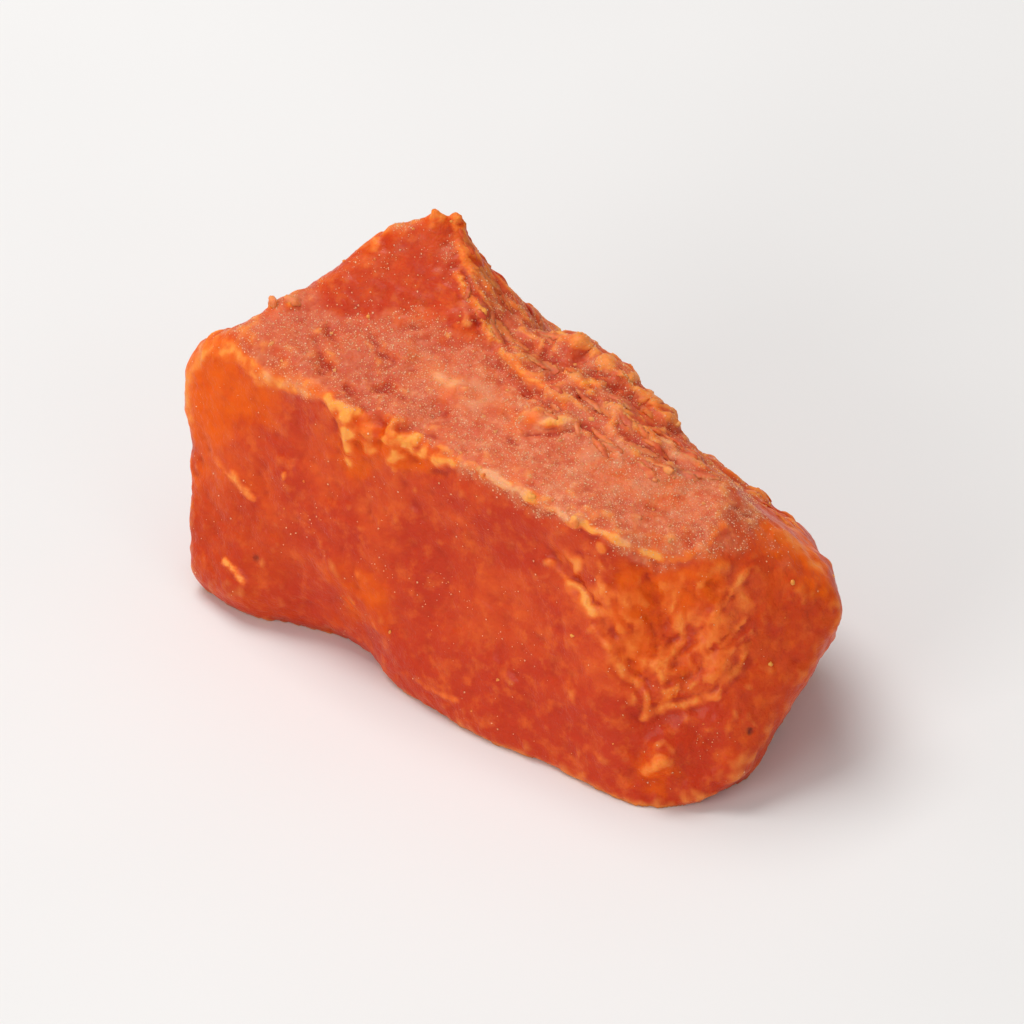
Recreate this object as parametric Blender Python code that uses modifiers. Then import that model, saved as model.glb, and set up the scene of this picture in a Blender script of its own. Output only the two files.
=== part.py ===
"""A chunk of dried, sugared papaya lying on its underside, as one solid.

Metres, +Z up. The length runs along X and the broad cut face looks to -Y. A thick block is
trimmed by knife cuts, a torn crest rises from its back edge, and slivers, crumbs, creases
and pits give the surface its relief. The origin is on the underside, below the middle of
the box.
"""

import math

import bmesh
import bpy
from mathutils import Matrix, Vector, noise

MM = 0.001
NODE = "papaya_chunk"

# Driving dimensions, in millimetres.
LENGTH = 29.0
BLANK_SIZE = 4 * LENGTH
SOLE_DEPTH = 0.4
SKIN_GRID = 0.30
EDGE_ROUNDING_PASSES = 3
ROUNDING_SHARE = 0.5
SLICE_SNAP = 0.02
SHARP_EDGE = 50
SKIN_TRIANGLES = 11000

# The block is measured from the front lower corner of the chunk. Each knife cut is the
# direction its face looks in, as a bearing (0 is -Y, 90 is +X) and a rise in degrees, and
# its distance from that corner in millimetres.
BLOCK_CUTS = {
    "underside": (0, -90, SOLE_DEPTH),
    "front": (-2, 11, 0.45),
    "front right": (24, 15, 0.4),
    "front far left": (-13, 14, 4.1),
    "front foot": (-5, -25, 0.55),
    "left shoulder": (-50, 38, 18.0),
    "left top": (-107, 45, 23.3),
    "left end": (-98, -3, 23.4),
    "left foot": (-90, -14, 21.0),
    "right end": (60, 20, 3.2),
    "right top": (100, 54, 9.95),
    "right side": (105, -23, 3.8),
    "right foot": (70, -46, 1.2),
    "right back": (135, 0, 9.0),
    "top": (0, 78, 10.75),
    "top right": (70, 78, 10.5),
    "back slope": (-168, 52, 17.4),
    "back right slope": (160, 42, 12.3),
    "back": (172, -13, 11.0),
    "back left": (-150, -8, 17.8),
    "back left end": (-125, 8, 22.4),
}
CREST_CUTS = {
    "front": (5, 45, 3.5),
    "right": (110, 50, 4.7),
    "left": (-94, 39, 23.5),
    "back": (175, 20, 13.5),
    "back left": (-140, 25, 22.9),
    "back left end": (-125, 8, 22.3),
    "root": (0, -90, -7.0),
    "front end": (0, 0, -3.5),
}

# A sliver is a cone with this many sides, its half width at the root and the tip given as
# shares of the whole width.
SLIVER_SIDES, SLIVER_ROOT, SLIVER_TIP = 10, 0.5, 0.22
# Torn slivers beside the fold that runs down from the crest: root, tip, width, thickness.
FOLD_SLIVERS = (
    ((-14.5, 9.5, 14.6), (-11.8, 7.7, 13.1), 1.1, 0.8),
    ((-13.9, 9.5, 13.8), (-10.9, 9.8, 12.2), 1.6, 1.0),
    ((-10.7, 7.3, 12.7), (-8.8, 6.9, 12.5), 1.0, 0.8),
    ((-8.0, 6.7, 12.5), (-6.9, 6.1, 12.3), 1.0, 0.7),
    ((-8.6, 5.1, 12.0), (-6.7, 5.4, 12.1), 0.9, 0.7),
    ((-7.9, 7.4, 12.6), (-6.0, 8.3, 12.5), 1.0, 0.9),
    ((-9.9, 9.7, 12.3), (-7.9, 10.0, 12.1), 1.5, 1.2),
    ((-7.0, 9.3, 12.0), (-3.7, 8.9, 11.1), 1.9, 1.4),
    ((-5.2, 7.2, 12.1), (-3.0, 7.9, 11.5), 1.2, 0.8),
    ((-3.4, 8.2, 11.1), (-1.6, 7.7, 11.1), 1.1, 0.8),
)
CREST_TEETH = (
    ((-15.8, 9.4, 14.6), (-15.8, 9.8, 16.2), 1.7, 1.3),
    ((-14.9, 9.8, 14.2), (-15.0, 10.3, 15.9), 1.4, 1.2),
)
# Flesh that hangs in drips over the front edge.
EDGE_DRIPS = (
    ((-15.4, 2.2, 11.4), (-14.2, 2.1, 11.3), 1.0, 0.9),
    ((-14.7, 2.1, 11.2), (-14.4, 1.6, 9.5), 0.9, 0.7),
    ((-13.7, 2.1, 11.2), (-13.4, 1.7, 10.0), 0.7, 0.6),
    ((-12.7, 2.1, 11.4), (-11.5, 2.0, 11.2), 0.9, 0.8),
    ((-12.5, 2.0, 11.2), (-12.5, 1.7, 9.8), 0.7, 0.7),
    ((-10.8, 2.1, 11.3), (-8.7, 2.3, 11.5), 0.6, 0.5),
)
# Crumbs and lumps stuck to the skin: how they are stretched, then centre and radius.
CRUMB_STRETCH = (1.15, 0.95, 0.8)
CRUMB_TURN = 3
CRUMBS = (
    ((-4.9, 2.0, 11.3), 0.35),
    ((-3.4, 1.9, 11.3), 0.30),
    ((-20.3, 5.4, 12.2), 0.42),
    ((-19.8, 6.0, 12.4), 0.45),
    ((-5.4, 7.2, 12.3), 0.50),
    ((-4.6, 6.7, 12.1), 0.45),
    ((1.4, 0.9, 2.2), 0.75),
    ((-9.2, 8.9, 11.5), 1.70),
    ((-7.2, 9.0, 11.3), 1.60),
    ((-4.6, 8.6, 10.6), 1.20),
)
# Creases that dry fruit draws into its faces: the points a crease passes, width, depth.
# Five of them run down the scooped facet at the front right to its foot.
CREASES = (
    (((-4.2, 1.3, 9.0), (-1.8, 1.0, 7.5), (0.0, 1.1, 5.1)), 0.8, 0.30),
    (((-0.4, 2.2, 9.8), (0.1, 2.1, 8.3), (0.6, 1.8, 6.7)), 0.6, 0.22),
    (((2.1, 3.6, 9.5), (1.8, 2.7, 8.0), (1.2, 1.9, 6.2)), 0.6, 0.22),
    (((3.0, 4.1, 7.9), (2.7, 2.9, 6.9), (1.8, 1.9, 5.4)), 0.6, 0.22),
    (((0.3, 0.8, 3.8), (2.4, 2.0, 4.7), (3.6, 3.7, 6.0)), 0.7, 0.25),
    (((-12.1, 7.2, 13.3), (-10.2, 6.6, 12.4), (-7.0, 5.9, 12.1)), 0.7, 0.25),
    (((-18.5, 1.4, 7.0), (-16.5, 1.2, 3.5)), 1.2, 0.15),
)
# Hollows: centre, reach, depth, and the bearing and rise of the side they are pressed from.
HOLLOWS = (
    ((0.8, 1.6, 7.4), 2.6, 0.45, 30, 10),
    ((-14.8, 0.6, 0.0), 4.6, 1.30, 0, 0),
    ((-9.0, 0.8, 6.0), 4.5, 0.25, 0, 10),
    ((-8.0, 14.5, 5.0), 4.0, 0.60, 175, 0),
    ((-20.5, 11.0, 4.5), 3.2, 0.55, -130, 0),
    ((-16.9, 3.4, 11.8), 0.8, 0.30, 0, 80),
    ((-14.1, 3.6, 11.8), 0.8, 0.30, 0, 80),
    ((-11.5, 3.7, 11.8), 0.9, 0.25, 0, 80),
    ((-13.6, 5.2, 12.2), 0.9, 0.25, 0, 80),
)
# Relief of the dried flesh: size of its lumps and their height, then the crags of the torn
# back. Those start beyond the fold, on a line that looks along a bearing, and die out
# towards the smooth right end.
SWELL_SIZE, SWELL_HEIGHT = 5.0, 0.30
GRAIN_SIZE, GRAIN_HEIGHT = 1.4, 0.14
GRAIN_FALL, GRAIN_STEP, GRAIN_LAYERS = 0.9, 2.0, 3
CRAG_SIZE, CRAG_HEIGHT = 2.0, 0.30
CRAG_FALL, CRAG_STEP, CRAG_LAYERS, CRAG_OFFSET, CRAG_GAIN, CRAG_MEAN = 0.9, 2.1, 3, 0.9, 1.6, 1.2
TEAR_BEARING, TEAR_START, TEAR_FULL = 160, 3.6, 6.0
TEAR_RIGHT_END, TEAR_RIGHT_FULL = 1.5, -2.0
# The relief dies out where the skin turns down to the underside, between these rises.
SOLE_RISE, SIDE_RISE = -0.9, -0.6


def facing(bearing, rise):
    """Unit vector that looks along a bearing from -Y towards +X, raised by rise."""
    turn, lift = math.radians(bearing), math.radians(rise)
    return Vector((
        math.sin(turn) * math.cos(lift),
        -math.cos(turn) * math.cos(lift),
        math.sin(lift),
    ))


def trimmed_block(cuts):
    """A large cube cut down to a closed convex body by one plane after another."""
    body = bmesh.new()
    bmesh.ops.create_cube(body, size=BLANK_SIZE)
    for bearing, rise, distance in cuts.values():
        normal = facing(bearing, rise)
        cut = bmesh.ops.bisect_plane(
            body,
            geom=body.verts[:] + body.edges[:] + body.faces[:],
            plane_co=normal * distance,
            plane_no=normal,
            clear_outer=True,
        )
        rim = [item for item in cut["geom_cut"] if isinstance(item, bmesh.types.BMEdge)]
        if rim:
            bmesh.ops.edgeloop_fill(body, edges=rim)
    return body


def add_sliver(body, root, tip, width, thickness):
    """A flattened cone from root to tip, lying as flat as its slope lets it."""
    root, tip = Vector(root), Vector(tip)
    along = (tip - root).normalized()
    across = along.cross(Vector((0, 0, 1))).normalized()
    frame = Matrix((across, across.cross(along), along)).transposed().to_4x4()
    bmesh.ops.create_cone(
        body,
        cap_ends=True,
        segments=SLIVER_SIDES,
        radius1=SLIVER_ROOT,
        radius2=SLIVER_TIP,
        depth=(tip - root).length,
        matrix=Matrix.Translation((root + tip) / 2) @ frame @ Matrix.Diagonal(
            (width, thickness, 1, 1)
        ),
    )


def add_crumb(body, centre, radius):
    """A stretched lump, turned by where it is."""
    turn = Matrix.Rotation(CRUMB_TURN * centre[0], 4, Vector((centre[1], centre[2], 1)))
    bmesh.ops.create_icosphere(
        body,
        subdivisions=2,
        radius=radius,
        matrix=Matrix.Translation(centre) @ turn @ Matrix.Diagonal((*CRUMB_STRETCH, 1)),
    )


def reworked(body, modifier_type, **settings):
    """The body as one of Blender's modifiers leaves it."""
    mesh = bpy.data.meshes.new("work in hand")
    body.to_mesh(mesh)
    body.free()
    carrier = bpy.data.objects.new("work in hand", mesh)
    bpy.context.scene.collection.objects.link(carrier)
    modifier = carrier.modifiers.new("rework", modifier_type)
    for name, value in settings.items():
        setattr(modifier, name, value)
    result = bmesh.new()
    result.from_object(carrier, bpy.context.evaluated_depsgraph_get())
    bpy.data.objects.remove(carrier)
    bpy.data.meshes.remove(mesh)
    return result


def fused(body):
    """The overlapping shapes of a body as one closed skin on an even grid."""
    return reworked(body, "REMESH", mode="VOXEL", voxel_size=SKIN_GRID)


def thinned(body):
    """The skin with fewer triangles, kept where it bends most."""
    bmesh.ops.triangulate(body, faces=body.faces)
    return reworked(body, "DECIMATE", ratio=SKIN_TRIANGLES / len(body.faces))


def rounded(body, passes):
    for _ in range(passes):
        bmesh.ops.smooth_vert(
            body, verts=body.verts, factor=ROUNDING_SHARE,
            use_axis_x=True, use_axis_y=True, use_axis_z=True,
        )
    return body


def distance_to_path(point, path):
    """Distance from a point to the nearest stretch of a path of points."""
    nearest = math.inf
    for start, end in zip(path, path[1:]):
        start, end = Vector(start), Vector(end)
        stretch = end - start
        share = max(0.0, min(1.0, (point - start).dot(stretch) / stretch.length_squared))
        nearest = min(nearest, (point - start - stretch * share).length)
    return nearest


def bell(distance, reach):
    """1 at distance 0, falling smoothly to 0 at reach."""
    return (1 - min(1.0, distance / reach) ** 2) ** 2


def ramp(value, start, full):
    share = max(0.0, min(1.0, (value - start) / (full - start)))
    return share * share * (3 - 2 * share)


def tornness(point):
    """1 on the torn back, 0 on the faces that the knife left smooth."""
    beyond_fold = ramp(point.dot(facing(TEAR_BEARING, 0)), TEAR_START, TEAR_FULL)
    return beyond_fold * ramp(-point.x, -TEAR_RIGHT_END, -TEAR_RIGHT_FULL)


def relief(point):
    """How far the dried surface stands out from the knife cuts at a point."""
    height = SWELL_HEIGHT * noise.noise(point / SWELL_SIZE)
    height += GRAIN_HEIGHT * noise.fractal(point / GRAIN_SIZE, GRAIN_FALL, GRAIN_STEP, GRAIN_LAYERS)
    crag = noise.ridged_multi_fractal(
        point / CRAG_SIZE, CRAG_FALL, CRAG_STEP, CRAG_LAYERS, CRAG_OFFSET, CRAG_GAIN
    )
    height += CRAG_HEIGHT * (crag - CRAG_MEAN) * tornness(point)
    for path, width, depth in CREASES:
        height -= depth * bell(distance_to_path(point, path), width)
    return height


def raise_relief(body):
    """Push the skin out or in along its normals, but leave the underside level."""
    body.normal_update()
    moves = [
        vertex.normal * relief(vertex.co) * ramp(vertex.normal.z, SOLE_RISE, SIDE_RISE)
        for vertex in body.verts
    ]
    for vertex, move in zip(body.verts, moves):
        vertex.co += move


def press_hollows(body):
    for centre, reach, depth, bearing, rise in HOLLOWS:
        push = -facing(bearing, rise) * depth
        for vertex in body.verts:
            vertex.co += push * bell((vertex.co - Vector(centre)).length, reach)


def flatten_sole(body):
    """Slice the underside flat, so that the chunk lies firmly."""
    bmesh.ops.bisect_plane(
        body,
        geom=body.verts[:] + body.edges[:] + body.faces[:],
        dist=SLICE_SNAP,
        plane_co=(0, 0, 0),
        plane_no=(0, 0, -1),
        clear_outer=True,
    )
    rim = [edge for edge in body.edges if edge.is_boundary]
    for edge in rim:
        for vertex in edge.verts:
            vertex.co.z = 0
    bmesh.ops.holes_fill(body, edges=rim, sides=0)


def centre_on_origin(body):
    """Stand the body on z = 0 with the middle of its box over the origin."""
    lows = [min(vertex.co[axis] for vertex in body.verts) for axis in range(3)]
    highs = [max(vertex.co[axis] for vertex in body.verts) for axis in range(3)]
    middle = Vector(((lows[0] + highs[0]) / 2, (lows[1] + highs[1]) / 2, lows[2]))
    bmesh.ops.translate(body, verts=body.verts, vec=-middle)


def papaya_flesh():
    material = bpy.data.materials.new("sugared papaya flesh")
    material.use_nodes = True
    shader = material.node_tree.nodes["Principled BSDF"]
    shader.inputs["Base Color"].default_value = (0.62, 0.10, 0.03, 1)
    shader.inputs["Roughness"].default_value = 0.55
    shader.inputs["Metallic"].default_value = 0.0
    return material


def joined(bodies):
    """Several bodies as the loose shapes of one."""
    together = bmesh.new()
    for body in bodies:
        mesh = bpy.data.meshes.new("shape")
        body.to_mesh(mesh)
        body.free()
        together.from_mesh(mesh)
        bpy.data.meshes.remove(mesh)
    return together


def chunk_body():
    """The whole chunk in millimetres, closed and flat underneath."""
    trimmed = joined([trimmed_block(BLOCK_CUTS), trimmed_block(CREST_CUTS)])
    body = rounded(fused(trimmed), EDGE_ROUNDING_PASSES)
    for sliver in FOLD_SLIVERS + CREST_TEETH + EDGE_DRIPS:
        add_sliver(body, *sliver)
    for crumb in CRUMBS:
        add_crumb(body, *crumb)
    body = rounded(fused(body), 1)
    raise_relief(body)
    press_hollows(body)
    body = thinned(body)
    flatten_sole(body)
    return body


def build():
    for existing in list(bpy.data.objects):
        bpy.data.objects.remove(existing)
    body = chunk_body()
    centre_on_origin(body)
    bmesh.ops.scale(body, verts=body.verts, vec=(MM, MM, MM))
    mesh = bpy.data.meshes.new(NODE)
    body.to_mesh(mesh)
    body.free()
    mesh.shade_smooth()
    mesh.set_sharp_from_angle(angle=math.radians(SHARP_EDGE))
    mesh.materials.append(papaya_flesh())
    chunk = bpy.data.objects.new(NODE, mesh)
    collection = bpy.data.collections.new("papaya chunk")
    bpy.context.scene.collection.children.link(collection)
    collection.objects.link(chunk)


build()
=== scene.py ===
"""The looks of a chunk of dried, sugared papaya that lies on a pale floor.

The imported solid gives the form. Its skin is remeshed fine and takes the relief of dried
fruit, then the marks that the photograph shows: each is found by casting a ray from the
camera through the mark's pixel onto the skin, and is raised or sunk there and painted with
a mask that the material reads. Torn strips, crumbs and sugar grains are pieces of their own.

Lengths are in millimetres and angles in degrees, unless a name says otherwise. Pixels are
those of the photograph, 1024 by 1024.
"""

import itertools
import math

import bmesh
import bpy
import numpy as np
from mathutils import Matrix, Vector
from mathutils.bvhtree import BVHTree

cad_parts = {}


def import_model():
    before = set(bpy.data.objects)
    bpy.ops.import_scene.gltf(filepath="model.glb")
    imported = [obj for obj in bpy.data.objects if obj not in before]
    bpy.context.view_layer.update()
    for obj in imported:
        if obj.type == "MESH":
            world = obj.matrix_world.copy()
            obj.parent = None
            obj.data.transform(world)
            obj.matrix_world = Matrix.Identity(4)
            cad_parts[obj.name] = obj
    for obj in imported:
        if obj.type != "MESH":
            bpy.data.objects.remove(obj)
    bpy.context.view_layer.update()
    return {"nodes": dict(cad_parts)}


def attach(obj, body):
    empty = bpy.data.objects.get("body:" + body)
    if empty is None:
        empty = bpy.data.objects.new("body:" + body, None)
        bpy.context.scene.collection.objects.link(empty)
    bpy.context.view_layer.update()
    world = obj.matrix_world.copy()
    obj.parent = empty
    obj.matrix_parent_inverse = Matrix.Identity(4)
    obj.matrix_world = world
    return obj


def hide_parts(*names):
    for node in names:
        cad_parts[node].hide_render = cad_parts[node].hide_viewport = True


MM = 0.001
NODE = "papaya_chunk"

# Where the photograph's camera stands round the chunk, and the scale of its picture there.
VIEW_BEARING = 35
VIEW_RISE = 38
PIXEL = 0.13
CORNER_PIXEL = (451, 614)
CORNER = np.array((9.12, -7.13, 0.0))
FRAME_MIDDLE_PIXEL = (417.5, 527.5)
FRAME_PIXELS = 310
CAMERA_DISTANCE = 1000
SENSOR = 36

# The skin.
SKIN_GRID = 0.133
SKIN_SMOOTHING = 6
TEAR_BEARING, TEAR_START, TEAR_FULL = 160, 3.6, 6.0
TEAR_RIGHT_END, TEAR_RIGHT_FULL = 1.5, -2.0
TEAR_FLOW = (0.93, -0.12, -0.34)
TEAR_ACROSS = (0.25, 0.75, 0.6)
CREST_ACROSS = (0.3, 0.8, 0.52)
CUT_FLOW = (0.72, 0.1, -0.68)

PAINTS = ("amber", "pale", "frost", "painted_shade", "speck", "rim", "edge", "height", "torn")


def unit(vector):
    vector = np.array(vector, float)
    return vector / np.linalg.norm(vector)


def lengths(vectors):
    return np.linalg.norm(vectors, axis=-1)


def linked(name, data):
    """A new object in the scene for a mesh, a light or a camera."""
    thing = bpy.data.objects.new(name, data)
    bpy.context.scene.collection.objects.link(thing)
    return thing


def facing(bearing, rise):
    """Unit vector that looks along a bearing from -Y towards +X, raised by rise."""
    turn, lift = math.radians(bearing), math.radians(rise)
    level = math.cos(lift)
    return np.array((math.sin(turn) * level, -math.cos(turn) * level, math.sin(lift)))


TO_CAMERA = facing(VIEW_BEARING, VIEW_RISE)
PICTURE_RIGHT = unit(np.cross((0, 0, 1), TO_CAMERA))
PICTURE_UP = np.cross(TO_CAMERA, PICTURE_RIGHT)


def photo_point(pixel):
    """The point that a pixel shows on the plane through the corner, square to the view."""
    across = (pixel[0] - CORNER_PIXEL[0]) * PIXEL
    up = (CORNER_PIXEL[1] - pixel[1]) * PIXEL
    return CORNER + PICTURE_RIGHT * across + PICTURE_UP * up


CAMERA_PLACE = photo_point(FRAME_MIDDLE_PIXEL) + TO_CAMERA * CAMERA_DISTANCE


def pixels_of(points):
    """Where the camera sees points, in the photograph's pixels."""
    rays = points - CAMERA_PLACE
    reach = CAMERA_DISTANCE / -(rays @ TO_CAMERA)
    seen = CAMERA_PLACE + rays * reach[:, None] - CORNER
    across = seen @ PICTURE_RIGHT / PIXEL + CORNER_PIXEL[0]
    down = CORNER_PIXEL[1] - seen @ PICTURE_UP / PIXEL
    return np.stack((across, down), axis=1)


# ---- noise ----

NOISE_TABLE = 256
GRADIENTS = np.random.default_rng(7).normal(size=(NOISE_TABLE, 3))
GRADIENTS /= lengths(GRADIENTS)[:, None]
SCATTER = np.random.default_rng(8).random((NOISE_TABLE, 3))
SHUFFLE = np.random.default_rng(9).permutation(NOISE_TABLE)
SEED_STEP = 17.31
NOISE_GAIN = 1.6


def lattice_number(cell):
    """A number below NOISE_TABLE for each lattice cell, always the same one."""
    number = SHUFFLE[cell[:, 0] % NOISE_TABLE]
    number = SHUFFLE[(number + cell[:, 1]) % NOISE_TABLE]
    return SHUFFLE[(number + cell[:, 2]) % NOISE_TABLE]


def smooth_noise(points, size, seed):
    """Gradient noise with features about size across, from about -1 to 1."""
    places = points / size + seed * SEED_STEP
    cell = np.floor(places).astype(int)
    inside = places - cell
    fade = inside**3 * (inside * (inside * 6 - 15) + 10)
    total = np.zeros(len(points))
    for corner in itertools.product((0, 1), repeat=3):
        slope = GRADIENTS[lattice_number(cell + corner)]
        share = np.prod(np.where(corner, fade, 1 - fade), axis=1)
        total += share * np.einsum("ij,ij->i", slope, inside - corner)
    return total * NOISE_GAIN


def fractal_noise(points, size, seed, octaves=3, shape=lambda noise: noise):
    """Smooth noise with finer and weaker noise on it, each of them put through shape."""
    return sum(
        shape(smooth_noise(points, size / 2**octave, seed + octave)) / 2**octave
        for octave in range(octaves)
    )


def ridged_noise(points, size, seed, octaves=3):
    """Sharp crests between rounded hollows, from about -1 to 1."""
    crests = fractal_noise(points, size, seed, octaves, lambda noise: 1 - 2 * np.abs(noise))
    return crests / 1.5


def broken_cells(points, size, seed):
    """Cells that each lean their own way: the height, and how far in from the cracks."""
    places = points / size + seed * SEED_STEP
    cell = np.floor(places).astype(int)
    nearest, second = np.full((2, len(points)), 9.0)
    height = np.zeros(len(points))
    for step in itertools.product((-1, 0, 1), repeat=3):
        number = lattice_number(cell + step)
        away = places - cell - step - SCATTER[number]
        distance = lengths(away)
        lean = np.einsum("ij,ij->i", away, GRADIENTS[number]) + SCATTER[number, 0] - 0.5
        height = np.where(distance < nearest, lean, height)
        second = np.minimum(second, np.maximum(distance, nearest))
        nearest = np.minimum(nearest, distance)
    return height, second - nearest


def wavered(points, size, reach, seed):
    """Points pushed about by noise, so that what is measured from them is uneven."""
    push = [smooth_noise(points, size, seed + axis) for axis in range(3)]
    return points + reach * np.stack(push, axis=1)


def drawn_out(points, direction, times):
    """Points squeezed along a direction, so that noise on them is that much longer there."""
    along = points @ unit(direction)
    return points - np.outer(along * (1 - 1 / times), unit(direction))


def ledges(points, across, period, seed):
    """Steps like torn layers that overlap: a slope up from 0 to 1, then a drop."""
    flow = unit(np.cross(across, TO_CAMERA))
    bent = 0.9 * fractal_noise(drawn_out(points, flow, 2.0), 2.4, seed)
    phase = points @ unit(across) / period + bent
    return phase - np.floor(phase)


def patchy(points, size, seed, middle, swing, low=0, high=1):
    """Noise about a middle value, kept between two limits."""
    return np.clip(middle + swing * smooth_noise(points, size, seed), low, high)


def ramp(value, start, full):
    """0 at start and before, 1 at full and after, smooth between."""
    share = np.clip((value - start) / (full - start), 0, 1)
    return share * share * (3 - 2 * share)


def bell(distance, reach):
    """1 at distance 0, falling smoothly to 0 at reach."""
    return (1 - np.minimum(1, distance / reach) ** 2) ** 2


# ---- the skin ----


def fetched(items, name, width, kind=np.float32):
    """One property of all items of a mesh, width numbers to a row."""
    values = np.empty(len(items) * width, kind)
    items.foreach_get(name, values)
    return values.reshape(-1, width)


class Skin:
    """A closed fine mesh, its points in millimetres, and the masks painted on it."""

    def __init__(self, mesh):
        self.mesh = mesh
        count = len(mesh.vertices)
        self.points = fetched(mesh.vertices, "co", 3).astype(float) / MM
        self.edges = fetched(mesh.edges, "vertices", 2, np.int32)
        self.links = np.bincount(self.edges.ravel(), minlength=count)
        self.faces = fetched(mesh.loops, "vertex_index", 1, np.int32).reshape(-1, 4)
        self.paint = {name: np.zeros(count) for name in PAINTS}

    def neighbour_mean(self, values):
        """The mean of each vertex's neighbours, for one number or a point a vertex."""
        columns = values.reshape(len(values), -1)
        first, second = self.edges.T
        total = np.stack([
            np.bincount(first, column[second], len(column))
            + np.bincount(second, column[first], len(column))
            for column in columns.T
        ], axis=1)
        return (total / self.links[:, None]).reshape(values.shape)

    def smoothed(self, values, rounds, share=0.5):
        for _ in range(rounds):
            values = values + (self.neighbour_mean(values) - values) * share
        return values

    def write_points(self):
        self.mesh.vertices.foreach_set("co", (self.points * MM).astype(np.float32).ravel())
        self.mesh.update()

    def normals(self):
        self.write_points()
        return fetched(self.mesh.vertex_normals, "vector", 3).astype(float)

    def tree(self):
        """The skin as it is now, for casting rays, in millimetres."""
        return BVHTree.FromPolygons(self.points.tolist(), self.faces.tolist())

    def scattered(self, rng, weight, count):
        """Random places on the skin, thick where a weight is high, and their normals."""
        share = weight[self.faces].mean(axis=1)
        chosen = rng.choice(len(self.faces), count, replace=False, p=share / share.sum())
        corners = self.faces[chosen]
        across, along = rng.random((2, count))
        pull = np.stack(
            ((1 - across) * (1 - along), across * (1 - along), across * along, (1 - across) * along)
        )
        return (
            np.einsum("cn,nci->ni", pull, self.points[corners]),
            np.einsum("cn,nci->ni", pull, self.normals()[corners]),
        )

    def add_paint(self, name, values):
        self.paint[name] = np.maximum(self.paint[name], values)

    def write_paint(self):
        for name, values in self.paint.items():
            layer = self.mesh.attributes.new(name, "FLOAT", "POINT")
            layer.data.foreach_set("value", values.astype(np.float32))


def remeshed(source):
    """A fine even copy of an object's mesh."""
    copy = linked("remesh", source.data.copy())
    modifier = copy.modifiers.new("even grid", "REMESH")
    modifier.mode = "VOXEL"
    modifier.voxel_size = SKIN_GRID * MM
    evaluated = copy.evaluated_get(bpy.context.evaluated_depsgraph_get())
    mesh = bpy.data.meshes.new_from_object(evaluated)
    bpy.data.objects.remove(copy)
    return mesh


def tornness(points, normals):
    """How torn the skin is, 0 on what the knife left smooth: behind, and on the crest."""
    from_corner = points - CORNER
    ragged = 1.2 * fractal_noise(points, 2.2, 36)
    beyond_fold = ramp(from_corner @ facing(TEAR_BEARING, 0) + ragged, TEAR_START, TEAR_FULL)
    behind = beyond_fold * ramp(from_corner[:, 0], TEAR_RIGHT_END, TEAR_RIGHT_FULL)
    wander = 2.5 * fractal_noise(points, 1.2, 37)[:, None]
    crest = inside_share(pixels_of(points) + wander, TORN_CREST, 5)
    crest *= ramp(normals @ TO_CAMERA, 0, 0.2)
    calm = 1 - 0.75 * inside_share(pixels_of(points), FLAP, 5)
    return behind * (1 - crest) * calm, crest * calm


def add_layers(skin, share, across, period, height, lip_highlight, seed):
    """Torn layers where share is 1: a painted highlight along their lips and painted shade under
    them.
    """
    steps = ledges(skin.points, across, period, seed)
    uneven = patchy(skin.points, 1.6, seed + 5, 0.65, 0.6, low=0.1)
    lift = skin.smoothed((steps - 0.5) * share * uneven * height, 1)
    broken = patchy(skin.points, 0.6, seed + 7, 0.35, 0.9)
    lip = share * uneven * broken * ramp(steps, *LAYER_LIP)
    foot = share * uneven * (1 - ramp(steps, *LAYER_FOOT))
    skin.add_paint("pale", lip_highlight * skin.smoothed(lip, 1))
    skin.add_paint("painted_shade", LAYER_SHADE * skin.smoothed(foot, 1))
    return lift


def facet_folds(points):
    """Folds that run down to the foot of the scooped facet from all round it."""
    away = (pixels_of(points) - FACET_FOOT) * PIXEL
    around = np.arctan2(away[:, 1], away[:, 0]) * FOLD_SPREAD
    out = lengths(away) / FOLD_STRETCH
    places = wavered(np.stack((around, out, np.zeros(len(points))), axis=1), 1.0, 0.4, 15)
    return 0.6 * ridged_noise(places, 0.85, 16) + 0.4 * broken_cells(places, 0.7, 19)[0]


# Swells and grain all over the skin: size, height, seed and octaves.
SWELLS = ((4.5, 0.1, 1, 1), (1.7, 0.06, 2, 3), (0.5, 0.034, 5, 1), (0.32, 0.026, 5, 1))

# Heights of the finer relief: on the cut faces, on the torn back, on the torn crest and in
# the facet, and how strong the painted highlight on the facet's folds and the painted shade
# between them are.
CUT_FIBRES = 0.045
TORN_STRANDS, TORN_FLAKES, TORN_CRACKS = 0.2, 0.08, 0.06
CREST_THREADS = 0.15
FOLDS, FOLD_HIGHLIGHT, FOLD_SHADE = 0.13, 0.62, 0.22

# Where on a torn layer's slope, from 0 to 1, the painted highlight on its lip fades in and the
# painted shade at its foot fades out.
LAYER_LIP = (0.76, 0.96)
LAYER_FOOT = (0.02, 0.16)
LAYER_SHADE = 0.55


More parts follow.
